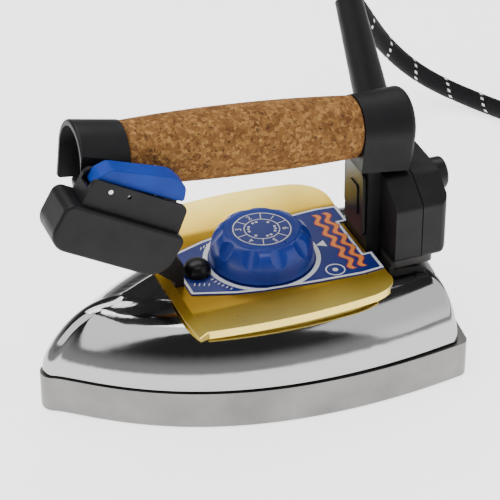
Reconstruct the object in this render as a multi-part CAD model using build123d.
from build123d import *
import math
import os

# Professional electric steam iron with a cork handle, in millimetres.
# The toe points to -X, the heel to +X, the user's left hand side is -Y and +Z is up.
# The origin is under the middle of the sole's box, on the surface that the iron stands on.

# ---------------------------------------------------------------- driving dimensions
SOLE_LENGTH = 220.0
SOLE_HALF_WIDTH = 61.2
SOLE_THICK = 22.0
SOLE_CORNER_R = 5.0
SEAM = 1.2  # gasket between the sole and the cover
COVER_TOP = 58.6
COVER_WALL = 1.4
SHIELD_TOP = 62.5
SHIELD_WALL = 1.0
SHIELD_BEND_Y = 35.0  # the flat middle of the shield ends here and the wings rise
SHIELD_HALF = 59.6
SHIELD_RISE = 4.0
SHIELD_FRONT, SHIELD_REAR = -38.8, 67.5
LABEL_THICK = 0.8
LABEL_TOP = SHIELD_TOP + LABEL_THICK
KNOB_X = 12.0
KNOB_R = 27.4
KNOB_TOP = 80.9
KNOB_LOBES = 10
LAMP = (-24.0, -0.8)
LAMP_R = 7.1
LAMP_HIGH = 7.6
GRIP_FRONT = (-63.4, 143.5)  # x and z where the cork meets the front bracket
GRIP_REAR = (61.4, 131.2)
GRIP_END_R = 16.1
GRIP_MID_R = 18.2
ROD_R = 4.0
SWITCH_PIN = (-79.5, 145.0)  # x and z of the trigger's pin
SWITCH_PITCH = 29.8  # the switch housing falls towards the heel by this angle
BOX_X = (72.6, 102.0)
BOX_SPLIT = 87.5
BOX_HALF = 33.0
BOX_Z = (64.5, 107.3)
SLEEVE_BASE = (90.5, 26.2, 101.6)
SLEEVE_LEAN = 38.0  # from upright towards +Y
SLEEVE_LENGTH = 78.0
CORD_D = 11.0
COIL_R = 60.5  # middle of the turns
COIL_CENTRE = (322.0, 150.0)
COIL_HEIGHT = 21.5

PARTS = {}


def keep(name, shape):
    """Store a finished piece under its node name."""
    PARTS[name] = shape
    return shape


def keep_set(name, shapes):
    """Store identical pieces under one node name."""
    return keep(name, Compound(children=[s.solid() for s in shapes]))


# ---------------------------------------------------------------- small helpers
DRILL_Z = (50.0, 70.0)  # clears the cover's top, the shield and the label


def cyl(r, low, high):
    """A cylinder between two points."""
    axis = Vector(*high) - Vector(*low)
    return extrude(Plane(origin=low, z_dir=axis) * Circle(r), amount=axis.length)


def ring(outer, inner, low, high):
    """A tube between two points."""
    return cyl(outer, low, high) - cyl(inner, low, high)


def drill(r, x, y):
    """A vertical cutter through the cover's top and all that lies on it."""
    return cyl(r, (x, y, DRILL_Z[0]), (x, y, DRILL_Z[1]))


def block(x, y, z, r=0.0, axis=Axis.Z):
    """A box from three ranges, with the edges along one axis rounded."""
    size = [b - a for a, b in (x, y, z)]
    middle = [(a + b) / 2 for a, b in (x, y, z)]
    solid = Pos(*middle) * Box(*size)
    return fillet(solid.edges().filter_by(axis), r) if r else solid


def prism_y(points, radii, y_low, y_high):
    """A rounded polygon in the XZ plane, carried along Y."""
    line = FilletPolyline(*[(x, y_low, z) for x, z in points], radius=radii, close=True)
    return extrude(make_face(line), amount=y_high - y_low, dir=(0, 1, 0))


def prism_x(points, radii, x_low, x_high):
    """A rounded polygon in the YZ plane, carried along X."""
    line = FilletPolyline(*[(x_low, y, z) for y, z in points], radius=radii, close=True)
    return extrude(make_face(line), amount=x_high - x_low, dir=(1, 0, 0))


def prism_z(points, radii, z_low, z_high):
    """A rounded polygon in the XY plane, carried along Z."""
    line = FilletPolyline(*[(x, y, z_low) for x, y in points], radius=radii, close=True)
    return extrude(make_face(line), amount=z_high - z_low, dir=(0, 0, 1))


def both_sides(points):
    """Close a half outline, given for +Y, with its mirror image."""
    return points + [(x, -y) for x, y in reversed(points) if y != 0]


def pipe(points, radius, bends):
    """A round bar along a route with rounded corners."""
    path = FilletPolyline(*points, radius=bends)
    start = Vector(*points[0])
    return sweep(Plane(origin=start, z_dir=Vector(*points[1]) - start) * Circle(radius), path=path)


def screw(seat, length, shank, head, head_high, along=(0, 0, -1)):
    """A slotted pan-head screw: its head's underside is at the seat and its shank runs along a direction."""
    seat, along = Vector(*seat), Vector(*along)
    top = seat - along * head_high
    slot = Plane(origin=top, z_dir=along) * Box(2 * head, 0.9, 2.2)
    return cyl(head, top, seat) + cyl(shank, seat, seat + along * length) - slot


# ---------------------------------------------------------------- the iron's plan
TOE = -SOLE_LENGTH / 2
HEEL = SOLE_LENGTH / 2
# control points of the +Y half of the sole's plan: the round toe, the swept flank and the bowed heel
TIP_LINE = [(TOE, 0), (TOE, 2.7), (-108.4, 5.2), (-106, 6.3)]
FLANK_LINE = [(-106, 6.3), (-90.2, 13.8), (-40.6, 81.3), (106, 55.7)]
HEEL_LINE = [(106, 55.7), (108.4, 37), (HEEL, 18), (HEEL, 0)]


def outline(toe_x, heel_x, half_width, z):
    """The iron's plan at height z, fitted between a toe, a heel and a half width."""
    scale_x = (heel_x - toe_x) / SOLE_LENGTH
    scale_y = half_width / SOLE_HALF_WIDTH

    def curve(points, side):
        return Bezier(*[(toe_x + (x - TOE) * scale_x, y * side * scale_y, z) for x, y in points])

    face = make_face([curve(line, side) for side in (1, -1) for line in (TIP_LINE, FLANK_LINE, HEEL_LINE)])
    least_x, least_y = toe_x + 0.9 * (heel_x - toe_x), 0.7 * half_width
    corners = [v for v in face.vertices() if v.X > least_x and abs(v.Y) > least_y]
    return fillet(corners, SOLE_CORNER_R)


# ---------------------------------------------------------------- sole, heater and steam chamber
SOLE_EDGE_R = 2.2
HEATER_Z = 10.5
HEATER_R = 4.2
HEATER_PINS = [(84.0, -33.0), (84.0, 33.0)]
PIN_BASE, COLLAR_TOP, PIN_TOP = 30.05, 33.0, 42.0
HEATER_ROUTE = [
    (84, -33, 30),
    (84, -33, HEATER_Z),
    (10, -41, HEATER_Z),
    (-62, -20, HEATER_Z),
    (-84, 0, HEATER_Z),
    (-62, 20, HEATER_Z),
    (10, 41, HEATER_Z),
    (84, 33, HEATER_Z),
    (84, 33, 30),
]
CHAMBER = [(-66, 5), (-30, 22), (-8, 24)]  # front, widest and rear points of its +Y half
CHAMBER_FLOOR = 16.5
LID_THICK = 2.4
LID_EDGE = 5.0
SEAL_THICK = 0.8
LID_SCREWS = [(-62, 0), (-34, 23.5), (-34, -23.5), (-5.4, 16), (-5.4, -16)]
JET_R = 1.6
JET_ROWS = 6
FIRST_JET_X = -58.0
JET_PITCH = 9.0
STEAM_IN = (-16.0, 9.0)
STUDS = [(4, 20), (4, -20), (48, 20), (48, -20)]
STUD_R, STUD_DEPTH = 2.5, 8.0


def steam_jets():
    """Jets in widening rows behind the toe, drilled from the chamber to the sole's face."""
    spots = [(FIRST_JET_X, 0.0)]
    for row in range(1, JET_ROWS):
        x = FIRST_JET_X + JET_PITCH * row
        reach = 2.0 + 3.4 * row
        count = 1 + row // 2
        spots += [(x, side * reach * (k + 1) / count) for k in range(count) for side in (-1, 1)]
    return [cyl(JET_R, (x, y, -1), (x, y, CHAMBER_FLOOR + 1)) for x, y in spots]


def chamber(grow, low, high):
    """The steam chamber's plan, grown all round and carried between two heights."""
    (front_x, front_y), (wide_x, wide_y), (rear_x, rear_y) = CHAMBER
    half = [(front_x - grow, front_y + grow), (wide_x, wide_y + grow), (rear_x + grow, rear_y + grow)]
    return prism_z(both_sides(half), [4 + grow * 0.5] * 6, low, high)


def heater_pin(x, y):
    """A terminal on the heater's end: a collar and a thin pin."""
    collar = ring(2.6, 1.3, (x, y, PIN_BASE), (x, y, COLLAR_TOP))
    return collar + cyl(1.3, (x, y, PIN_BASE), (x, y, PIN_TOP))


LID_BASE = SOLE_THICK - LID_THICK
sole = extrude(outline(TOE, HEEL, SOLE_HALF_WIDTH, 0), amount=SOLE_THICK)
sole = fillet(sole.edges().group_by(Axis.Z)[0], SOLE_EDGE_R)
heater = pipe(HEATER_ROUTE, HEATER_R, [9, 60, 14, 14, 14, 60, 9])
sole = sole - heater - chamber(0, CHAMBER_FLOOR, SOLE_THICK + 1)
sole -= chamber(LID_EDGE, LID_BASE - SEAL_THICK, SOLE_THICK + 1)
for jet in steam_jets():
    sole -= jet
for x, y in STUDS:
    sole -= cyl(STUD_R, (x, y, SOLE_THICK - STUD_DEPTH), (x, y, SOLE_THICK + 1))

seal = chamber(LID_EDGE - 0.2, LID_BASE - SEAL_THICK, LID_BASE) - chamber(1.0, 0, 40)
lid = chamber(LID_EDGE - 0.2, LID_BASE, SOLE_THICK)
lid -= cyl(3.0, (*STEAM_IN, 10), (*STEAM_IN, 30))
lid_screws = [screw((x, y, SOLE_THICK), 7.0, 1.2, 2.2, 1.3) for x, y in LID_SCREWS]
for s in lid_screws:
    sole -= s
    lid -= s
    seal -= s
keep("sole_plate", sole)
keep("heating_element", heater)
keep_set("heater_terminals", [heater_pin(x, y) for x, y in HEATER_PINS])
keep("chamber_seal", seal)
keep("chamber_lid", lid)
keep_set("lid_screws", lid_screws)

# ---------------------------------------------------------------- cover, gasket and its fixings
COVER_BASE = SOLE_THICK + SEAM
# height above the base, toe set-back, heel set-back, half width
COVER_SECTIONS = [
    (0.0, 1.6, 4.8, 59.7),
    (7.0, 2.8, 5.4, 58.9),
    (15.0, 7.4, 6.4, 56.4),
    (23.0, 14.2, 8.2, 52.0),
    (29.5, 22.5, 11.2, 46.0),
    (33.4, 33.0, 16.5, 38.0),
    (35.4, 45.0, 26.0, 28.0),
]
STEAM_UP = (79.0, 16.0)
WIRE_UP = [(84.4, -12.0), (84.4, 4.0)]
STEAM_WAY, WIRE_WAY = 3.6, 2.6  # radii of the ways through the cover, the pad and the box
SHAFT_WAY, LAMP_WAY = 5.0, 4.7
REAR_FOOT_HALF = 13.0
FRONT_FOOT_HALF = 9.0
REAR_SCREWS = [(68.7, 8.0), (68.7, -8.0)]
FRONT_SCREWS = [(-36.4, 5.0), (-36.4, -5.0)]


def dome(inset):
    """The cover's body: plan outlines that shrink as they rise, skinned smoothly."""
    plans = []
    for rise, toe_back, heel_back, half_width in COVER_SECTIONS:
        z = COVER_BASE + rise - (inset if rise else 0)
        toe_x, heel_x = TOE + toe_back + 1.6 * inset, HEEL - heel_back - inset
        plans.append(outline(toe_x, heel_x, half_width - inset, z))
    return loft(plans)


risers = [drill(STEAM_WAY, *STEAM_UP)] + [drill(WIRE_WAY, *spot) for spot in WIRE_UP]
cover_solid = dome(0)
cover = cover_solid - dome(COVER_WALL)
cover_cutters = risers + [drill(2.2, *spot) for spot in STUDS]
cover_cutters += [drill(6.0, KNOB_X, 0), drill(LAMP_WAY, *LAMP)]
cover_cutters += [drill(1.7, *spot) for spot in REAR_SCREWS] + [drill(1.3, *spot) for spot in FRONT_SCREWS]
for cutter in cover_cutters:
    cover -= cutter
keep("chrome_cover", cover)

gasket_face = outline(TOE + 3.2, HEEL - 6.4, SOLE_HALF_WIDTH - 3.0, SOLE_THICK)
gasket_hole = outline(TOE + 12, HEEL - 12, SOLE_HALF_WIDTH - 8.0, SOLE_THICK)
keep("cover_gasket", extrude(gasket_face, amount=SEAM) - extrude(gasket_hole, amount=SEAM))

# ---------------------------------------------------------------- heat shield
BEND_R = 20.0
LIP_RUN, LIP_FALL = 4.2, 2.6  # how far the front lip reaches forward and down
RIM_DROP, RIM_WALL = 3.4, 1.0
FRONT_INWARD, BOW_INWARD, CORNER_INWARD, REAR_INWARD = 4.6, 3.2, 11.0, 22.0  # from the widest point
SHIELD_SCREW_LONG, SHIELD_SCREW_R = 14.0, 2.0


def shield_plan(grow, z, height):
    """Shield outline: straight front, slightly bowed sides, big rear corners."""
    half, front, rear = SHIELD_HALF + grow, SHIELD_FRONT - grow, SHIELD_REAR + grow

    def at(x, inward, side):
        return (x, (half - inward) * side, z)

    edges = [Line(at(front, FRONT_INWARD, -1), at(front, FRONT_INWARD, 1))]
    edges += [Line(at(rear, REAR_INWARD, -1), at(rear, REAR_INWARD, 1))]
    for side in (1, -1):
        bow = ThreePointArc(at(front, FRONT_INWARD, side), at(10, 0, side), at(51, BOW_INWARD, side))
        tangent, corner = at(60, 5.6, side), at(rear, CORNER_INWARD, side)
        edges += [bow, Bezier(at(51, BOW_INWARD, side), tangent, corner, at(rear, REAR_INWARD, side))]
    return extrude(make_face(edges), amount=height)


def sheet(half, drop, thick):
    """The bent sheet's section as y and z: a flat middle and wings that rise."""
    rise = SHIELD_RISE * (half - SHIELD_BEND_Y) / (SHIELD_HALF - SHIELD_BEND_Y)
    top = SHIELD_TOP - drop
    edge = [(-half, top + rise), (-SHIELD_BEND_Y, top), (SHIELD_BEND_Y, top), (half, top + rise)]
    return edge + [(y, z - thick) for y, z in reversed(edge)]


SHEET_BENDS = [0, BEND_R, BEND_R, 0] * 2


def front_lip():
    """The shield's front edge, folded down along its whole width."""
    section = sheet(SHIELD_HALF - FRONT_INWARD, 0, SHIELD_WALL)
    line = FilletPolyline(*[(SHIELD_FRONT, y, z) for y, z in section], radius=SHEET_BENDS, close=True)
    return extrude(make_face(line), amount=math.hypot(LIP_RUN, LIP_FALL), dir=(-LIP_RUN, 0, -LIP_FALL))


def roof(thick):
    """The sheet's section along the whole shield."""
    return prism_x(sheet(SHIELD_HALF + 6, 0, thick), SHEET_BENDS, -50, 80)


def countersunk(x, y):
    """A shield screw, flush with the sheet."""
    seat = SHIELD_TOP - SHIELD_WALL
    head = extrude(Pos(x, y, seat) * Circle(SHIELD_SCREW_R), amount=SHIELD_WALL, taper=-60)
    return head + cyl(SHIELD_SCREW_R, (x, y, SHIELD_TOP - SHIELD_SCREW_LONG), (x, y, seat))


rim = (shield_plan(0, 50, 30) - shield_plan(-RIM_WALL, 50, 30)) & roof(RIM_DROP + SHIELD_WALL)
rim &= block((SHIELD_FRONT + 1.1, 62), (-70, 70), (40, 80))
shield = (shield_plan(0, 50, 30) & roof(SHIELD_WALL)) + rim + front_lip()
shield -= block((64.6, 80), (-REAR_FOOT_HALF - 2.4, REAR_FOOT_HALF + 2.4), (50, 70))
shield = shield - drill(SHAFT_WAY, KNOB_X, 0) - drill(LAMP_WAY, *LAMP)
for spot in FRONT_SCREWS:
    shield -= drill(1.3, *spot)
shield_screws = [countersunk(x, y) for x, y in STUDS]
standoffs = []
standoff_high = COVER_TOP - COVER_WALL - 0.3 - SOLE_THICK
for (x, y), s in zip(STUDS, shield_screws):
    shield -= s
    post = extrude(Pos(x, y, SOLE_THICK) * RegularPolygon(5.0, 6), amount=standoff_high)
    standoffs.append(post + cyl(STUD_R, (x, y, SOLE_THICK - STUD_DEPTH), (x, y, SOLE_THICK)) - s)
keep("heat_shield", shield)
keep_set("shield_screws", shield_screws)
keep_set("cover_standoffs", standoffs)
spacer_z = (COVER_TOP, SHIELD_TOP - SHIELD_WALL)
keep_set("shield_spacers", [ring(4.5, 2.2, (x, y, spacer_z[0]), (x, y, spacer_z[1])) for x, y in STUDS])

# ---------------------------------------------------------------- label plate
LABEL_HALF = [(-33.8, 18.4), (-12, 25.8), (2, 28.6), (30, 31.4), (55, 33.0), (67.4, 31.8)]
LABEL_NOTCH = [(67.4, 15.6), (62.6, 15.6)]
LABEL_BENDS = [1.5, 40, 60, 60, 60, 1.5, 0.4, 0.4]
label_line = both_sides(LABEL_HALF + LABEL_NOTCH)
label = prism_z(label_line, LABEL_BENDS + LABEL_BENDS[::-1], SHIELD_TOP, LABEL_TOP)
keep("label_plate", label - drill(SHAFT_WAY, KNOB_X, 0) - drill(LAMP_WAY, *LAMP))

# ---------------------------------------------------------------- thermostat and its knob
SHAFT_R = 3.0
SHAFT_Z = (30.2, 74.0)
SHAFT_FLAT = 1.9  # from the shaft's middle
CASE_Z = (SOLE_THICK + 0.2, 36.0)
CASE_HALF = 15.0
NECK_TOP = 48.0
KNOB_BASE = LABEL_TOP + 0.5
CROWN_R = 19.6
DISC_R, DISC_THICK = 15.8, 0.6
# each scallop is a tilted cylinder that bites SCALLOP_DEEP into the knob's shoulder
SCALLOP_R, SCALLOP_DEEP, SCALLOP_LEAN = 9.0, 1.4, 38.0
SHOULDER = (25.0, 76.4)


def thermostat_case():
    """The thermostat's case with its neck and two fixing feet."""
    case = block((KNOB_X - CASE_HALF, KNOB_X + CASE_HALF), (-12, 12), CASE_Z, 3)
    case += cyl(6.5, (KNOB_X, 0, CASE_Z[1]), (KNOB_X, 0, NECK_TOP))
    for side in (-1, 1):
        foot = sorted((KNOB_X + side * CASE_HALF, KNOB_X + side * (CASE_HALF + 6)))
        case += block(foot, (-4, 4), (CASE_Z[0], CASE_Z[0] + 1.8))
    return case - cyl(SHAFT_R + 0.05, (KNOB_X, 0, SHAFT_Z[0] - 0.2), (KNOB_X, 0, 60))


def knob_blank():
    """The knob before its scallops: a skirt, steep rounded sides and a flat crown."""
    shoulder_z = KNOB_BASE + 3.0
    skirt = Polyline((0, 0, KNOB_BASE), (KNOB_R - 0.6, 0, KNOB_BASE), (KNOB_R, 0, KNOB_BASE + 0.8))
    wall = Line((KNOB_R, 0, KNOB_BASE + 0.8), (KNOB_R - 0.3, 0, shoulder_z))
    side = Bezier(
        (KNOB_R - 0.3, 0, shoulder_z),
        (KNOB_R - 0.8, 0, shoulder_z + 8.0),
        (KNOB_R - 3.2, 0, KNOB_TOP - 0.8),
        (CROWN_R, 0, KNOB_TOP - 0.3),
    )
    crown_edge = [(CROWN_R, 0, KNOB_TOP - 0.3), (CROWN_R - 0.6, 0, KNOB_TOP)]
    crown = Polyline(*crown_edge, (0, 0, KNOB_TOP), (0, 0, KNOB_BASE))
    return revolve(make_face(skirt.edges() + [wall, side] + crown.edges()), axis=Axis.Z)


def scallop_cutter():
    """One scallop's cylinder, which runs square to the shoulder's outward normal."""
    lean = math.radians(SCALLOP_LEAN)
    out_r, out_z = math.cos(lean), math.sin(lean)
    middle_r = SHOULDER[0] + (SCALLOP_R - SCALLOP_DEEP) * out_r
    middle_z = SHOULDER[1] + (SCALLOP_R - SCALLOP_DEEP) * out_z
    low = (middle_r + 20 * out_z, 0, middle_z - 20 * out_r)
    high = (middle_r - 20 * out_z, 0, middle_z + 20 * out_r)
    return cyl(SCALLOP_R, low, high)


keep("thermostat_body", thermostat_case())
shaft = cyl(SHAFT_R, (KNOB_X, 0, SHAFT_Z[0]), (KNOB_X, 0, SHAFT_Z[1]))
shaft -= block((KNOB_X + SHAFT_FLAT, KNOB_X + 4), (-4, 4), (62, 75))
keep("thermostat_shaft", shaft)

knob = knob_blank()
scallop = scallop_cutter()
for k in range(KNOB_LOBES):
    knob -= Rot(0, 0, 360 / KNOB_LOBES * (k + 0.5)) * scallop
knob = Pos(KNOB_X, 0, 0) * knob
knob -= ring(22.0, 6.0, (KNOB_X, 0, KNOB_BASE - 1), (KNOB_X, 0, KNOB_BASE + 4))
knob -= shaft
knob -= cyl(DISC_R + 0.1, (KNOB_X, 0, KNOB_TOP - DISC_THICK), (KNOB_X, 0, KNOB_TOP + 1))
keep("thermostat_knob", knob)
keep("knob_disc", cyl(DISC_R, (KNOB_X, 0, KNOB_TOP - DISC_THICK), (KNOB_X, 0, KNOB_TOP)))

# ---------------------------------------------------------------- pilot lamp
LAMP_TOP = LABEL_TOP + LAMP_HIGH
LAMP_WALL_TOP = LABEL_TOP + 2.0
lens_wall = Polyline((0, 0, LABEL_TOP), (LAMP_R, 0, LABEL_TOP), (LAMP_R, 0, LAMP_WALL_TOP))
lens_curve = [(LAMP_R, 0, LAMP_WALL_TOP), (LAMP_R, 0, LAMP_TOP - 2.0), (4.0, 0, LAMP_TOP), (0, 0, LAMP_TOP)]
lens_axis = Line((0, 0, LAMP_TOP), (0, 0, LABEL_TOP))
lens = revolve(make_face(lens_wall.edges() + [Bezier(*lens_curve), lens_axis]), axis=Axis.Z)
keep("pilot_lamp_lens", Pos(*LAMP, 0) * lens)
holder = cyl(4.5, (*LAMP, 46), (*LAMP, LABEL_TOP)) + cyl(6.2, (*LAMP, 52.0), (*LAMP, 55.0))
keep("pilot_lamp_holder", holder)

# ---------------------------------------------------------------- steam pipe and inner leads
STEAM_PIPE_R = 2.95
LEAD_R = 1.6
PIPE_Z = (20.0, 52.0, 84.0)  # chamber lid, run under the cover, top in the terminal box
steam_line = [
    (*STEAM_IN, PIPE_Z[0]),
    (*STEAM_IN, PIPE_Z[1]),
    (44, 9, PIPE_Z[1]),
    (*STEAM_UP, PIPE_Z[1]),
    (*STEAM_UP, PIPE_Z[2]),
]
keep("steam_pipe", pipe(steam_line, STEAM_PIPE_R, [5, 30, 5]))


def lead(pin, up):
    """A sleeved wire from a heater pin up into the terminal box."""
    route = [(*pin, PIN_TOP + 0.1), (*pin, 50), (*up, 54), (*up, 72)]
    return pipe(route, LEAD_R, [3.5, 3.5])


fuse = cyl(3.4, (14, -28, 25.6), (38, -28, 25.6))
keep("thermal_fuse", fuse + block((22, 30), (-33, -23), (SOLE_THICK, 23.2)))

# ---------------------------------------------------------------- handle: cork, rod and brackets
SADDLE_LENGTH = 25.4
SADDLE_WALL = 3.2
RECESS_LEGS = 30.0
WEB = 5.0
COLUMN_TOP_X = 72.4
HAND_SIDE_X = 65.0
grip_run = Vector(GRIP_REAR[0] - GRIP_FRONT[0], 0, GRIP_REAR[1] - GRIP_FRONT[1])
GRIP_LENGTH = grip_run.length
GRIP_DIR = grip_run.normalized()


def on_grip(along):
    """A point on the handle's axis, measured from the cork's front end."""
    return Vector(GRIP_FRONT[0], 0, GRIP_FRONT[1]) + GRIP_DIR * along


GRIP_PLANE = Plane(origin=on_grip(0), x_dir=(0, 1, 0), z_dir=GRIP_DIR)
FRONT_OUT = Plane(origin=on_grip(-0.1), x_dir=(0, -1, 0), z_dir=-GRIP_DIR)
REAR_OUT = Plane(origin=on_grip(GRIP_LENGTH + 0.1), x_dir=(0, 1, 0), z_dir=GRIP_DIR)


def cork():
    """The cork along local +Z: a slim barrel with small chamfers."""
    chamfer = 0.8
    near, far, flat = chamfer, GRIP_LENGTH - chamfer, GRIP_END_R - chamfer
    swell = ThreePointArc((GRIP_END_R, 0, near), (GRIP_MID_R, 0, GRIP_LENGTH / 2), (GRIP_END_R, 0, far))
    far_end = Polyline((GRIP_END_R, 0, far), (flat, 0, GRIP_LENGTH), (0, 0, GRIP_LENGTH), (0, 0, 0))
    near_end = Polyline((0, 0, 0), (flat, 0, 0), (GRIP_END_R, 0, near))
    return revolve(make_face([swell] + far_end.edges() + near_end.edges()), axis=Axis.Z)


def arch(r, legs, z):
    """An inverted U of radius r, whose legs reach below its middle, as a face at local height z."""
    right = Polyline((r, -legs, z), (r, 0, z))
    top = ThreePointArc((r, 0, z), (0, r, z), (-r, 0, z))
    left = Polyline((-r, 0, z), (-r, -legs, z), (r, -legs, z))
    return make_face(right.edges() + [top] + left.edges())


def saddle(small, large, length, legs):
    """A hood round the handle's end, along local +Z, that flares from small to large."""
    return loft([arch(small, legs, 0.0), arch(large, legs, length)])


def recess(small, large, start, stop):
    """The open space inside a saddle: the same arch, one wall thinner."""
    flare = (large - small) / SADDLE_LENGTH
    return loft([arch(small + flare * z - SADDLE_WALL, RECESS_LEGS, z) for z in (start, stop)])


keep("cork_grip", GRIP_PLANE.location * (cork() - cyl(ROD_R + 0.1, (0, 0, -5), (0, 0, GRIP_LENGTH + 5))))

front_saddle = saddle(16.7, 19.4, SADDLE_LENGTH, 20.0)
front_saddle = fillet(front_saddle.edges().group_by(Axis.Z)[-1], 1.4)
front_saddle -= recess(16.7, 19.4, WEB, SADDLE_LENGTH + 2)
front_column_line = [
    (-86, 130),
    (-66, 130),
    (-61, 112),
    (-34.1, 76),
    (-34.1, SHIELD_TOP + 0.05),
    (-39.0, SHIELD_TOP + 0.05),
    (-39.0, 66),
    (-60, 84),
    (-84, 111),
]
front_column_bends = [2, 3, 16, 8, 0.4, 0.4, 2, 20, 6]
front_column = prism_y(front_column_line, front_column_bends, -FRONT_FOOT_HALF, FRONT_FOOT_HALF)
front_bracket = FRONT_OUT.location * front_saddle + front_column
front_bracket -= cyl(ROD_R + 0.1, on_grip(-60), on_grip(5))
front_bracket -= FRONT_OUT.location * cyl(9.0, (0, 0, WEB), (0, 0, 60))
for x, y in FRONT_SCREWS:
    front_bracket -= cyl(1.0, (x, y, 50), (x, y, 71))

rear_saddle = saddle(16.5, 18.7, SADDLE_LENGTH + 2.6, 18.4)
rear_saddle = fillet(rear_saddle.edges().group_by(Axis.Z)[-1], 3.0)
rear_saddle -= recess(16.5, 18.7, WEB, SADDLE_LENGTH - 1.4)
rear_column_line = [
    (HAND_SIDE_X, COVER_TOP),
    (COLUMN_TOP_X, COVER_TOP),
    (COLUMN_TOP_X, 110.6),
    (85.5, 110.6),
    (85.5, 120),
    (HAND_SIDE_X + 0.8, 122),
]
rear_column = prism_y(rear_column_line, [0.5, 0.5, 1, 2, 2, 2], -REAR_FOOT_HALF, REAR_FOOT_HALF)
rear_bracket = REAR_OUT.location * rear_saddle + rear_column
rear_bracket -= cyl(ROD_R + 0.1, on_grip(GRIP_LENGTH - 5), on_grip(GRIP_LENGTH + 22))
rear_bracket -= REAR_OUT.location * cyl(8.0, (0, 0, WEB), (0, 0, SADDLE_LENGTH - 1.4))
for x, y in REAR_SCREWS:
    rear_bracket -= cyl(1.5, (x, y, 50), (x, y, 78))
keep("rear_bracket", rear_bracket)

panel = prism_x([(-11.8, 70), (11.8, 70), (10.4, 108), (-10.4, 108)], [3, 3, 4, 4], 63.4, HAND_SIDE_X - 0.05)
panel += prism_x([(-5.5, 80), (5.5, 80), (5.0, 98), (-5.0, 98)], [2, 2, 2, 2], 62.7, 63.4)
keep("rear_column_panel", panel)

ROD_PAST = WEB + 12.0  # how far the rod reaches past each end of the cork
WASHER_THICK, NUT_THICK = 1.4, 6.0
keep("handle_rod", cyl(ROD_R, on_grip(-ROD_PAST), on_grip(GRIP_LENGTH + ROD_PAST)))
nuts, washers = [], []
for plane in (FRONT_OUT, REAR_OUT):
    nut = extrude(Pos(0, 0, WEB + WASHER_THICK) * RegularPolygon(7.2, 6), amount=NUT_THICK)
    nuts.append(plane.location * (nut - cyl(ROD_R, (0, 0, 0), (0, 0, 30))))
    washers.append(plane.location * ring(7.4, ROD_R + 0.1, (0, 0, WEB), (0, 0, WEB + WASHER_THICK)))
keep_set("rod_nuts", nuts)
keep_set("rod_washers", washers)

# ---------------------------------------------------------------- switch housing
LOWER_Y = (-38.2, -16.6)
LOWER_U = (-19.2, 48.8)
UPPER_Y = (-34.6, -19.8)
CHEEK = 1.9
DECK = -10.8  # the seam between the two halves, in the switch's own frame
LOWER_W = (-35.7, DECK)
LOWER_BENDS = [4.5, 10.0, 12.0, 4.5]
LOWER_WALL = 2.4
BACK_PLATE = 2.0
MID_Y = sum(UPPER_Y) / 2
PIN_R = 1.2
PLUNGER_U = 8.6
PLUNGER_R = 1.1
SWITCH_U = (6.4, 26.2)
SWITCH_Y = (MID_Y - 3.0, MID_Y + 3.0)
SWITCH_SCREW_U = 10.8
SWITCH_SCREW_R = 1.1
pitch = math.radians(SWITCH_PITCH)


def pitched(u, w):
    """A point of the switch's own frame, u along its deck and w square to it, as x and z."""
    x = SWITCH_PIN[0] + u * math.cos(pitch) + w * math.sin(pitch)
    return (x, SWITCH_PIN[1] - u * math.sin(pitch) + w * math.cos(pitch))


def pitched_prism(points, radii, y_low, y_high):
    """A rounded polygon of the switch's own frame, carried along Y."""
    return prism_y([pitched(u, w) for u, w in points], radii, y_low, y_high)


def across(u, w, r, y_low, y_high):
    """A cylinder along Y."""
    x, z = pitched(u, w)
    return cyl(r, (x, y_low, z), (x, y_high, z))


def along_w(u, y, r, low, high):
    """A cylinder square to the switch's deck."""
    (x0, z0), (x1, z1) = pitched(u, low), pitched(u, high)
    return cyl(r, (x0, y, z0), (x1, y, z1))


def lower_prism(inset, y_low, y_high):
    """The lower housing's outline, drawn in by an inset and carried along Y."""
    front, rear = LOWER_U[0] + inset, LOWER_U[1] - inset
    low, high = LOWER_W[0] + inset, LOWER_W[1] - inset
    points = [(front, high), (front, low), (rear, low), (rear, high)]
    return pitched_prism(points, [r - inset for r in LOWER_BENDS], y_low, y_high)


seam_y = LOWER_Y[1] - BACK_PLATE
lower = lower_prism(0, *LOWER_Y)
lower = fillet(lower.edges().group_by(Axis.Y)[0], 1.6)
lower -= lower_prism(LOWER_WALL, LOWER_Y[0] + LOWER_WALL, seam_y)
lower -= lower_prism(1.2, seam_y, LOWER_Y[1] + 1)
back = lower_prism(1.4, seam_y, LOWER_Y[1])
housing_screws = []
for u, w in ((-10.5, -20.0), (38.5, -27.0)):
    x, z = pitched(u, w)
    s = screw((x, LOWER_Y[1], z), 12.0, 1.5, 3.0, 1.8, (0, -1, 0))
    lower = lower + across(u, w, 4.0, LOWER_Y[0] + 2.0, seam_y) - s
    back -= s
    housing_screws.append(s)

inside_y = (UPPER_Y[0] + CHEEK, UPPER_Y[1] - CHEEK)
upper_line = [(-11.0, DECK), (-11.0, 3.9), (43.0, 3.9), (45.2, DECK)]
upper = pitched_prism(upper_line, [0.5, 4.2, 4.0, 0.5], *UPPER_Y)
upper -= pitched_prism([(-8.8, DECK + 2.2), (-8.8, 20), (60, 20), (60, DECK + 2.2)], [1, 0, 0, 1], *inside_y)
front_slot = [(-12, -2.5), (-12, 20), (-6, 20), (-6, -2.5)]
upper -= pitched_prism(front_slot, [0, 0, 0, 0], inside_y[0] + 0.8, inside_y[1] - 0.8)
upper -= across(0, 0, PIN_R, -40, 0)
upper -= across(SWITCH_SCREW_U, 0, SWITCH_SCREW_R, -40, 0)
tabs = [along_w(u, MID_Y, 0.9, DECK - 8.0, DECK + 2.2) for u in (9.0, 16.0, 23.0)]
for t in tabs:
    upper -= t
    lower -= t
keep("switch_housing_upper", upper)
keep("switch_housing_lower", lower)
keep("switch_housing_back", back)
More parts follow.
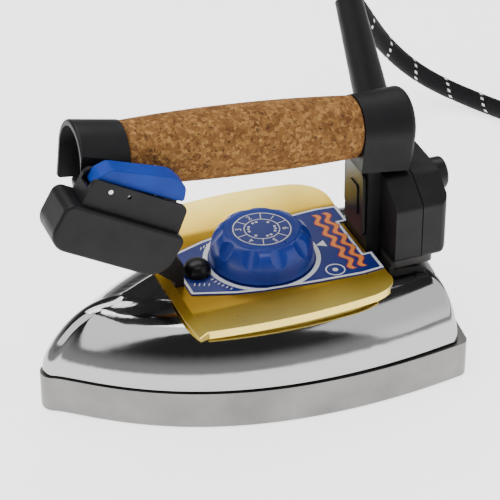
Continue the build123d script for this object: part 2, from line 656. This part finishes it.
keep_set("housing_screws", housing_screws)
keep_set("switch_tabs", tabs)
connector_line = [(2, -31.5), (2, -22), (30, -22), (30, -31.5)]
keep("switch_connector", pitched_prism(connector_line, [1, 1, 1, 1], LOWER_Y[0] + 5, LOWER_Y[1] - 4))

# ---------------------------------------------------------------- trigger, its pin, switch and spring
keep("trigger_pin", across(0, 0, PIN_R, UPPER_Y[0] - 0.3, UPPER_Y[1] + 0.3))

TRIGGER_Y = (inside_y[0] + 0.35, inside_y[1] - 0.35)
SPRING_U = 30.0
trigger_line = [
    (-8.2, -2.6),
    (-8.2, 4.6),
    (-3.6, 9.9),
    (29.6, 15.9),
    (38.2, 12.6),
    (41.0, 5.0),
    (35.0, 4.2),
    (6.0, 3.3),
    (3.4, -2.6),
]
trigger = pitched_prism(trigger_line, [2.2, 4, 5, 12, 5, 1.4, 2, 1.2, 2.2], *TRIGGER_Y)
thumb_edges = trigger.edges().filter_by(lambda e: e.center().Z > SWITCH_PIN[1] - 20)
trigger = fillet(thumb_edges.filter_by_position(Axis.Y, TRIGGER_Y[0] - 0.01, TRIGGER_Y[0] + 0.01), 0.7)
hollow_line = [(4.4, 3.0), (4.4, 10.4), (30, 14.0), (36.0, 11.0), (37.6, 3.0)]
trigger -= pitched_prism(hollow_line, [0, 2, 4, 2, 0], TRIGGER_Y[0] + 1.8, TRIGGER_Y[1] - 1.8)
trigger += across(0, 0, 3.2, *TRIGGER_Y)
trigger += along_w(PLUNGER_U, MID_Y, 1.6, 3.2, 10.8)
trigger += along_w(SPRING_U, MID_Y, 1.7, 7.0, 14.4)
keep("trigger", trigger - across(0, 0, PIN_R + 0.05, -40, 0))

switch_low, switch_high = DECK + 2.25, 1.7
switch_line = [(SWITCH_U[0], switch_low), (SWITCH_U[0], switch_high)]
switch_line += [(SWITCH_U[1], switch_high), (SWITCH_U[1], switch_low)]
micro = pitched_prism(switch_line, [0.6] * 4, *SWITCH_Y)
micro -= along_w(PLUNGER_U, MID_Y, PLUNGER_R + 0.05, -1.5, 4.0)
keep("microswitch", micro - across(SWITCH_SCREW_U, 0, SWITCH_SCREW_R, -40, 0))
keep("microswitch_plunger", along_w(PLUNGER_U, MID_Y, PLUNGER_R, 0.0, 2.9))
keep("switch_screw", across(SWITCH_SCREW_U, 0, SWITCH_SCREW_R, UPPER_Y[0] + 1.3, UPPER_Y[1] - 0.4))

SPRING_R = 2.9
SPRING_WIRE = 0.42
SPRING_TURNS = 5
SPRING_LOW, SPRING_HIGH = DECK + 2.3 + SPRING_WIRE, 6.6
spring_height = SPRING_HIGH - SPRING_LOW
helix = Helix(pitch=spring_height / SPRING_TURNS, height=spring_height, radius=SPRING_R)
spring = sweep(Plane(origin=helix @ 0, z_dir=helix % 0) * Circle(SPRING_WIRE), path=helix)
seat_x, seat_z = pitched(SPRING_U, SPRING_LOW)
deck_normal = (math.sin(pitch), 0, math.cos(pitch))
spring_plane = Plane(origin=(seat_x, MID_Y, seat_z), x_dir=(0, 1, 0), z_dir=deck_normal)
keep("trigger_spring", spring_plane.location * spring)

switch_room = [(-30, 20), (-30, -50), (60, -50), (60, 20)]
front_bracket -= pitched_prism(switch_room, [0, 0, 0, 0], LOWER_Y[0], LOWER_Y[1] + 0.1)
for s in housing_screws:
    front_bracket -= s
front_bracket += block((-76, -58), (LOWER_Y[1] + 0.05, -FRONT_FOOT_HALF + 1), (106, 122), 2, Axis.Y)
keep("front_bracket", front_bracket)

# ---------------------------------------------------------------- terminal box
CHAMFER_Y, CHAMFER_Z = 14.0, 10.8
ROOF_RISE = 2.6
BOX_WALL = 2.4
BOX_BENDS = [3, 3, 4, 6, 30, 6, 4]
HEEL_LOWER_R, HEEL_UPPER_R, HEEL_CORNER_R = 8.0, 4.0, 4.0
HALF_GAP = 0.25
BOX_SCREWS = [(-26.5, 72.5), (26.5, 72.5)]  # y and z
CAP_CENTRE = (0.0, 92.3)
CAP_R, CAP_END_X = 8.7, 114.0
CAP_STEM_R = 4.9


def box_section(inset):
    """Half-hexagon section of the terminal box, as y and z."""
    side, low, top = BOX_HALF - inset, BOX_Z[0] + inset, BOX_Z[1] - inset
    wall_top = top - CHAMFER_Z + inset * 0.4
    roof_side = side - CHAMFER_Y + inset * 0.4
    half = [(side, low), (side, wall_top), (roof_side, top)]
    return [(-side, low)] + half + [(0, top + ROOF_RISE), (-roof_side, top), (-side, wall_top)]


def box_body(inset):
    """The box's section along X, trimmed by its rounded side and plan outlines."""
    front, heel = BOX_X[0] + inset, BOX_X[1] - inset
    ahead, side = front - 10, BOX_HALF - inset
    low, high = BOX_Z[0] + inset, BOX_Z[1] + 3 - inset
    section = prism_x(box_section(inset), BOX_BENDS, front, heel)
    profile = [(ahead, low), (heel, low), (heel, high), (ahead, high + 7 + inset)]
    section &= prism_y(profile, [0, HEEL_LOWER_R, HEEL_UPPER_R, 0], -side - 10, side + 10)
    plan = [(ahead, -side), (heel, -side), (heel, side), (ahead, side)]
    return section & prism_z(plan, [0, HEEL_CORNER_R, HEEL_CORNER_R, 0], low - 10, high + 15)


sleeve_lean = math.radians(SLEEVE_LEAN)
sleeve_dir = Vector(0, math.sin(sleeve_lean), math.cos(sleeve_lean))


def on_sleeve(along):
    """A point on the strain relief's axis, measured from where it leaves the box."""
    return Vector(*SLEEVE_BASE) + sleeve_dir * along


shell = box_body(0) - box_body(BOX_WALL)
shell -= cyl(9.9, on_sleeve(-14), on_sleeve(10))
for riser in risers:
    shell -= riser
shell -= cyl(CAP_STEM_R + 0.1, (95, *CAP_CENTRE), (110, *CAP_CENTRE))
box_screws = []
for y, z in BOX_SCREWS:
    seat_x = BOX_X[1] - 1.6
    s = screw((seat_x, y, z), 24.0, 1.5, 2.8, 1.6, (-1, 0, 0))
    boss = cyl(3.6, (BOX_X[0] + 1, y, z), (BOX_X[1] - 2, y, z))
    shell = shell + boss - s - cyl(2.9, (seat_x, y, z), (BOX_X[1] + 2, y, z))
    box_screws.append(s)
keep("terminal_box_front", shell & block((60, BOX_SPLIT - HALF_GAP), (-60, 60), (40, 140)))
keep("terminal_box_rear", shell & block((BOX_SPLIT + HALF_GAP, 140), (-60, 60), (40, 140)))
keep_set("box_screws", box_screws)

cap = cyl(CAP_R, (BOX_X[1] + 0.05, *CAP_CENTRE), (CAP_END_X, *CAP_CENTRE))
cap = fillet(cap.edges().group_by(Axis.X)[-1], 1.6)
keep("outlet_cap", cap + cyl(CAP_STEM_R, (BOX_X[1] - 5.0, *CAP_CENTRE), (BOX_X[1] + 0.1, *CAP_CENTRE)))
nut_plane = Plane(origin=(BOX_X[1] - 4.6, *CAP_CENTRE), z_dir=(1, 0, 0))
cap_nut = extrude(nut_plane * RegularPolygon(7.5, 6), amount=2.1)
keep("cap_nut", cap_nut - cyl(CAP_STEM_R, (90, *CAP_CENTRE), (110, *CAP_CENTRE)))

pad = block((74, 97), (-28, 28), (COVER_TOP - 0.4, BOX_Z[0]), 3) - cover_solid
for riser in risers:
    pad -= riser
keep("box_pad", pad)

TERMINAL_X = 83.4
terminal_spots = [(TERMINAL_X, -15.5 + 7.0 * k) for k in range(4)]
terminal = block((79.5, 87), (-20, 10), (70, 82), 1)
for x, y in terminal_spots:
    terminal -= cyl(1.9, (x, y, 78), (x, y, 90))
keep("terminal_block", terminal)
keep_set("terminal_screws", [cyl(1.8, (x, y, 78.1), (x, y, 81.6)) for x, y in terminal_spots])
keep_set("heater_leads", [lead(pin, up) - terminal for pin, up in zip(HEATER_PINS, WIRE_UP)])

under_cover = COVER_TOP - COVER_WALL - 0.05
bracket_screws = [screw((x, y, under_cover), 14.0, 1.45, 2.8, 2.0, (0, 0, 1)) for x, y in REAR_SCREWS]
bracket_screws += [screw((x, y, under_cover), 12.0, 0.95, 2.0, 1.6, (0, 0, 1)) for x, y in FRONT_SCREWS]
keep_set("bracket_screws", bracket_screws)

# ---------------------------------------------------------------- strain relief and cord
SLEEVE_BORE = 5.5
HOSE_R = 5.45
SLEEVE_PLANE = Plane(origin=on_sleeve(0), x_dir=(1, 0, 0), z_dir=sleeve_dir)
SLEEVE_LINE = [
    (SLEEVE_BORE, -12.0),
    (9.7, -12.0),
    (9.7, 8),
    (9.3, 24),
    (7.4, SLEEVE_LENGTH - 1.0),
    (6.4, SLEEVE_LENGTH),
    (SLEEVE_BORE, SLEEVE_LENGTH),
]
sleeve = revolve(make_face(Polyline(*[(x, 0, z) for x, z in SLEEVE_LINE], close=True)), axis=Axis.Z)
keep("strain_relief", SLEEVE_PLANE.location * sleeve)
keep("cord_clamp", SLEEVE_PLANE.location * ring(8.0, SLEEVE_BORE, (0, 0, -17), (0, 0, -12.1)))
keep("hose_core", cyl(HOSE_R, on_sleeve(-19), on_sleeve(SLEEVE_LENGTH)))

CORD_EXIT = on_sleeve(SLEEVE_LENGTH)
CORD_Z = CORD_D / 2
COIL_JOIN = 200.1  # degrees round the coil where the cord joins its outer turn
join_r = COIL_R + CORD_D / 2
join_turn = math.radians(COIL_JOIN)
CORD_ROUTE = [
    tuple(CORD_EXIT),
    tuple(on_sleeve(SLEEVE_LENGTH + 35.2)),
    (98.1, 131.2, 206.9),
    (113.9, 171.3, 201.1),
    (129.2, 199.2, 171.1),
    (132.4, 208.8, 116.8),
    (160.5, 215.8, 74.7),
    (182.5, 222.2, 39.4),
    (205.4, 213.2, 17.0),
    (232.9, 191.7, CORD_Z),
    (249.7, 164.2, CORD_Z),
    (255.5, 139.8, CORD_Z),
    (COIL_CENTRE[0] + join_r * math.cos(join_turn), COIL_CENTRE[1] + join_r * math.sin(join_turn), CORD_Z),
]


def bend_radii(points):
    """As large an arc at each point as its two runs allow."""
    radii = []
    for a, b, c in zip(points, points[1:], points[2:]):
        one, two = Vector(*b) - Vector(*a), Vector(*c) - Vector(*b)
        turn = math.radians(one.get_angle(two))
        radii.append(0.45 * min(one.length, two.length) / math.tan(turn / 2))
    return radii


cord_radii = bend_radii(CORD_ROUTE)
cord_path = FilletPolyline(*CORD_ROUTE, radius=cord_radii)
cord = sweep(Plane(origin=CORD_EXIT, z_dir=sleeve_dir) * Circle(CORD_D / 2), path=cord_path)
tube_volume = math.pi * (CORD_D / 2) ** 2 * cord_path.length
print("cord radii", [round(r) for r in cord_radii], "least allowed", 5 * CORD_D)
print("cord length", round(cord_path.length, 1), "volume ratio", round(cord.volume / tube_volume, 4))

# The coil is two turns wide and two high, and its last stretch lies on top of it.
TAIL_TURN = 75.0
TAIL_Z = COIL_HEIGHT + CORD_D / 2 - 0.1
coil_inner, coil_outer = COIL_R - CORD_D, COIL_R + CORD_D
coil_line = [(coil_inner, 0), (coil_outer, 0), (coil_outer, COIL_HEIGHT), (coil_inner, COIL_HEIGHT)]
coil_face = make_face(FilletPolyline(*[(x, 0, z) for x, z in coil_line], radius=5.0, close=True))
tail_face = Plane(origin=(COIL_R, 0, TAIL_Z), z_dir=(0, 1, 0)) * Circle(CORD_D / 2)
tail = Rot(0, 0, COIL_JOIN) * revolve(tail_face, axis=Axis.Z, revolution_arc=TAIL_TURN)
coil_ring = Pos(*COIL_CENTRE, 0) * (revolve(coil_face, axis=Axis.Z) + tail)
keep("cord_coil", coil_ring)
keep("cord", cord - coil_ring)

# ---------------------------------------------------------------- line connector
# It rides on the coil, and tilts up because it is thicker than the cord.
PLUG_TILT = 9.0
PLUG_R = 9.5
SOCKET_R = 6.6
PIN_CIRCLE = 4.9
NIPPLE_R = 2.9
UNION_Z = (50.3, 60.5)
UNION_R = 10.6
UNION_GRIPS = 18
PLUG_LINE = [
    (0, -2),
    (6.6, -2),
    (6.9, 6),
    (8.4, 26),
    (PLUG_R, 30),
    (PLUG_R, 50),
    (8.0, 50),
    (8.0, 60),
    (0, 60),
]


def plug_plane():
    """The connector's frame: it starts where the coil's top stretch ends."""
    turn, tilt = math.radians(COIL_JOIN + TAIL_TURN), math.radians(PLUG_TILT)
    x, y = COIL_CENTRE[0] + COIL_R * math.cos(turn), COIL_CENTRE[1] + COIL_R * math.sin(turn)
    level = (-math.sin(turn) * math.cos(tilt), math.cos(turn) * math.cos(tilt))
    return Plane(origin=(x, y, TAIL_Z), z_dir=(*level, math.sin(tilt)))


def union_ring():
    """The screwed ring on the connector's front, with grooves for the fingers."""
    shape = ring(UNION_R, 8.05, (0, 0, UNION_Z[0]), (0, 0, UNION_Z[1]))
    groove = cyl(0.8, (UNION_R + 0.3, 0, 49), (UNION_R + 0.3, 0, 62))
    for k in range(UNION_GRIPS):
        shape -= Rot(0, 0, 360 / UNION_GRIPS * k) * groove
    return shape


plug_place = plug_plane().location
plug = revolve(make_face(Polyline(*[(x, 0, z) for x, z in PLUG_LINE], close=True)), axis=Axis.Z)
plug -= cyl(SOCKET_R, (0, 0, 52), (0, 0, 61))
plug -= cyl(NIPPLE_R, (0, 0, 44), (0, 0, 63))
plug_pins = [Rot(0, 0, 90 * k + 45) * cyl(0.9, (PIN_CIRCLE, 0, 46), (PIN_CIRCLE, 0, 59)) for k in range(4)]
for pin in plug_pins:
    plug -= pin
keep("line_connector", plug_place * plug - coil_ring)
keep("connector_ring", plug_place * union_ring())
keep_set("connector_pins", [plug_place * pin for pin in plug_pins])
keep("steam_nipple", plug_place * ring(NIPPLE_R, 1.9, (0, 0, 44), (0, 0, 63)))

# ---------------------------------------------------------------- export
os.makedirs("parts", exist_ok=True)
for name, shape in PARTS.items():
    export_step(shape, f"parts/{name}.step")
print(len(PARTS), "nodes")
